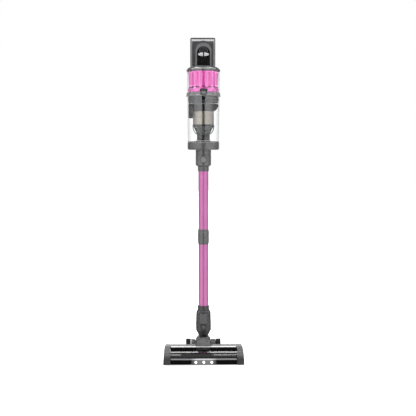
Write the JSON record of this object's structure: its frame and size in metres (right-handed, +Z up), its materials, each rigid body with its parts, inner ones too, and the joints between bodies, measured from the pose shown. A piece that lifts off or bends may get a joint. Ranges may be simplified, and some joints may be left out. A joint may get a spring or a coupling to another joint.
{
  "type": "cordless stick vacuum",
  "caption": "Upright cordless stick vacuum: floor head with brush roll, swivel neck, two-piece wand, clear dust cup, motor unit, handle and battery.",
  "frame": {"origin": "centre of the bounding box in plan, on the floor plane", "axes": "+Z up along the wand, front of the floor head towards -Y, +X to the right seen from the front"},
  "size_m": [0.2666, 0.2574, 1.09],
  "materials": {
    "grey_plastic": "glossy moulded plastic, mid grey",
    "dark_plastic": "satin moulded plastic, dark grey",
    "light_plastic": "satin moulded plastic, light grey",
    "clear_plastic": "clear polycarbonate",
    "bright_trim": "polished trim",
    "black_gloss": "piano black",
    "silver_plate": "satin silver",
    "lamp_lens": "frosted lens, lit",
    "rubber": "soft rubber",
    "tyre_rubber": "moulded rubber tyre",
    "brush_fibre": "nylon bristle and felt",
    "steel": "turned steel",
    "motor_metal": "cast aluminium",
    "pink_metal": "pink anodised tube",
    "pink_plastic": "pink moulded plastic",
    "mesh_metal": "fine perforated steel",
    "seal_rubber": "light silicone",
    "filter_paper": "pleated filter paper",
    "circuit_board": "circuit board"
  },
  "bodies": {
    "floor_head": {"head_base": "dark_plastic", "top_cover": "grey_plastic", "brush_window": "clear_plastic", "window_trim": "bright_trim", "front_trim": "bright_trim", "front_strip": "black_gloss", "lamp_panel": "light_plastic", "lamp_left": "lamp_lens", "lamp_middle": "lamp_lens", "lamp_right": "lamp_lens", "end_cap_left": "grey_plastic", "end_cap_right": "grey_plastic", "glide_left": "rubber", "glide_right": "rubber", "brush_motor": "steel", "drive_belt": "rubber", "wheel_axle": "steel"},
    "brush": {"brush_roll": "brush_fibre", "brush_pulley": "steel"},
    "brush_drive": {"motor_pulley": "steel"},
    "left_wheel": {"wheel_left": "tyre_rubber"},
    "right_wheel": {"wheel_right": "tyre_rubber"},
    "pivot": {"pivot_yoke": "dark_plastic", "pivot_cover": "light_plastic", "swivel_pin": "steel"},
    "neck": {"head_coupling": "dark_plastic"},
    "coupling_release": {"coupling_button": "dark_plastic"},
    "lower_wand": {"bottom_collar": "dark_plastic", "lower_tube": "pink_metal"},
    "upper_wand": {"upper_tube": "pink_metal", "mid_collar": "dark_plastic", "top_collar": "grey_plastic"},
    "mid_release": {"mid_button": "dark_plastic"},
    "cup": {"dust_cup": "clear_plastic", "cup_base": "grey_plastic", "pipe_seal": "seal_rubber"},
    "neck_release": {"neck_button": "grey_plastic"},
    "hand_unit": {"ring_collar": "grey_plastic", "clear_shroud": "clear_plastic", "cyclone_pack": "pink_plastic", "filter": "filter_paper", "cyclone_core": "dark_plastic", "mesh_screen": "mesh_metal", "core_skirt": "dark_plastic", "shoulder_cap": "grey_plastic", "motor_housing": "grey_plastic", "front_panel": "black_gloss", "badge": "silver_plate", "air_grille": "dark_plastic", "suction_motor": "motor_metal", "control_board": "circuit_board", "handle_grip": "dark_plastic", "handle_base": "grey_plastic"},
    "rotor": {"impeller": "motor_metal"},
    "suction_trigger": {"trigger": "light_plastic"},
    "power_key": {"power_button": "light_plastic"},
    "latch": {"cup_latch": "grey_plastic"},
    "battery": {"battery_pack": "dark_plastic"},
    "battery_release": {"battery_button": "light_plastic"}
  },
  "joints": [
    {"name": "head_tilt", "type": "hinge", "parent": "floor_head", "child": "pivot", "pos_m": [0, 0.0087, 0.031], "axis": [-1, 0, 0], "range_deg": [0, 78]},
    {"name": "head_swivel", "type": "hinge", "parent": "pivot", "child": "neck", "pos_m": [0, -0.0433, 0.062], "axis": [0, 1, 0], "range_deg": [-45, 45]},
    {"name": "brush_spin", "type": "hinge", "parent": "floor_head", "child": "brush", "pos_m": [0, -0.0893, 0.0215], "axis": [1, 0, 0], "continuous": true},
    {"name": "brush_motor_spin", "type": "hinge", "parent": "floor_head", "child": "brush_drive", "pos_m": [-0.1015, -0.0433, 0.022], "axis": [1, 0, 0], "continuous": true},
    {"name": "left_wheel_spin", "type": "hinge", "parent": "floor_head", "child": "left_wheel", "pos_m": [-0.05065, 0.0087, 0.031], "axis": [1, 0, 0], "continuous": true},
    {"name": "right_wheel_spin", "type": "hinge", "parent": "floor_head", "child": "right_wheel", "pos_m": [0.05065, 0.0087, 0.031], "axis": [1, 0, 0], "continuous": true},
    {"name": "coupling_button_press", "type": "slide", "parent": "neck", "child": "coupling_release", "axis": [0, 1, 0], "range_m": [0, 0.0012], "stiffness_N_per_m": 800},
    {"name": "wand_release", "type": "slide", "parent": "neck", "child": "lower_wand", "axis": [0, 0, 1], "range_m": [0, 0.045]},
    {"name": "mid_joint_release", "type": "slide", "parent": "lower_wand", "child": "upper_wand", "axis": [0, 0, 1], "range_m": [0, 0.026]},
    {"name": "mid_button_press", "type": "slide", "parent": "upper_wand", "child": "mid_release", "axis": [0, -1, 0], "range_m": [0, 0.0012], "stiffness_N_per_m": 800},
    {"name": "hand_unit_release", "type": "slide", "parent": "upper_wand", "child": "cup", "axis": [0, 0, 1], "range_m": [0, 0.04]},
    {"name": "neck_button_press", "type": "slide", "parent": "cup", "child": "neck_release", "axis": [0, 1, 0], "range_m": [0, 0.0011], "stiffness_N_per_m": 800},
    {"name": "cup_release", "type": "slide", "parent": "cup", "child": "hand_unit", "axis": [0, 0, 1], "range_m": [0, 0.17]},
    {"name": "cup_latch_press", "type": "slide", "parent": "hand_unit", "child": "latch", "axis": [0, 0, -1], "range_m": [0, 0.003], "stiffness_N_per_m": 800},
    {"name": "impeller_spin", "type": "hinge", "parent": "hand_unit", "child": "rotor", "pos_m": [0, -0.0433, 0.988], "axis": [0, 0, 1], "continuous": true},
    {"name": "trigger_pull", "type": "slide", "parent": "hand_unit", "child": "suction_trigger", "axis": [0, 0, 1], "range_m": [0, 0.005], "stiffness_N_per_m": 600},
    {"name": "power_button_press", "type": "slide", "parent": "hand_unit", "child": "power_key", "axis": [0, 0, -1], "range_m": [0, 0.0012], "stiffness_N_per_m": 800},
    {"name": "battery_release_slide", "type": "slide", "parent": "hand_unit", "child": "battery", "axis": [0, 1, 0], "range_m": [0, 0.04]},
    {"name": "battery_button_press", "type": "slide", "parent": "battery", "child": "battery_release", "axis": [-1, 0, 0], "range_m": [0, 0.0015], "stiffness_N_per_m": 800}
  ],
  "couplings": [
    {"joint": "brush_motor_spin", "follows": "brush_spin", "ratio": 1.6667}
  ]
}
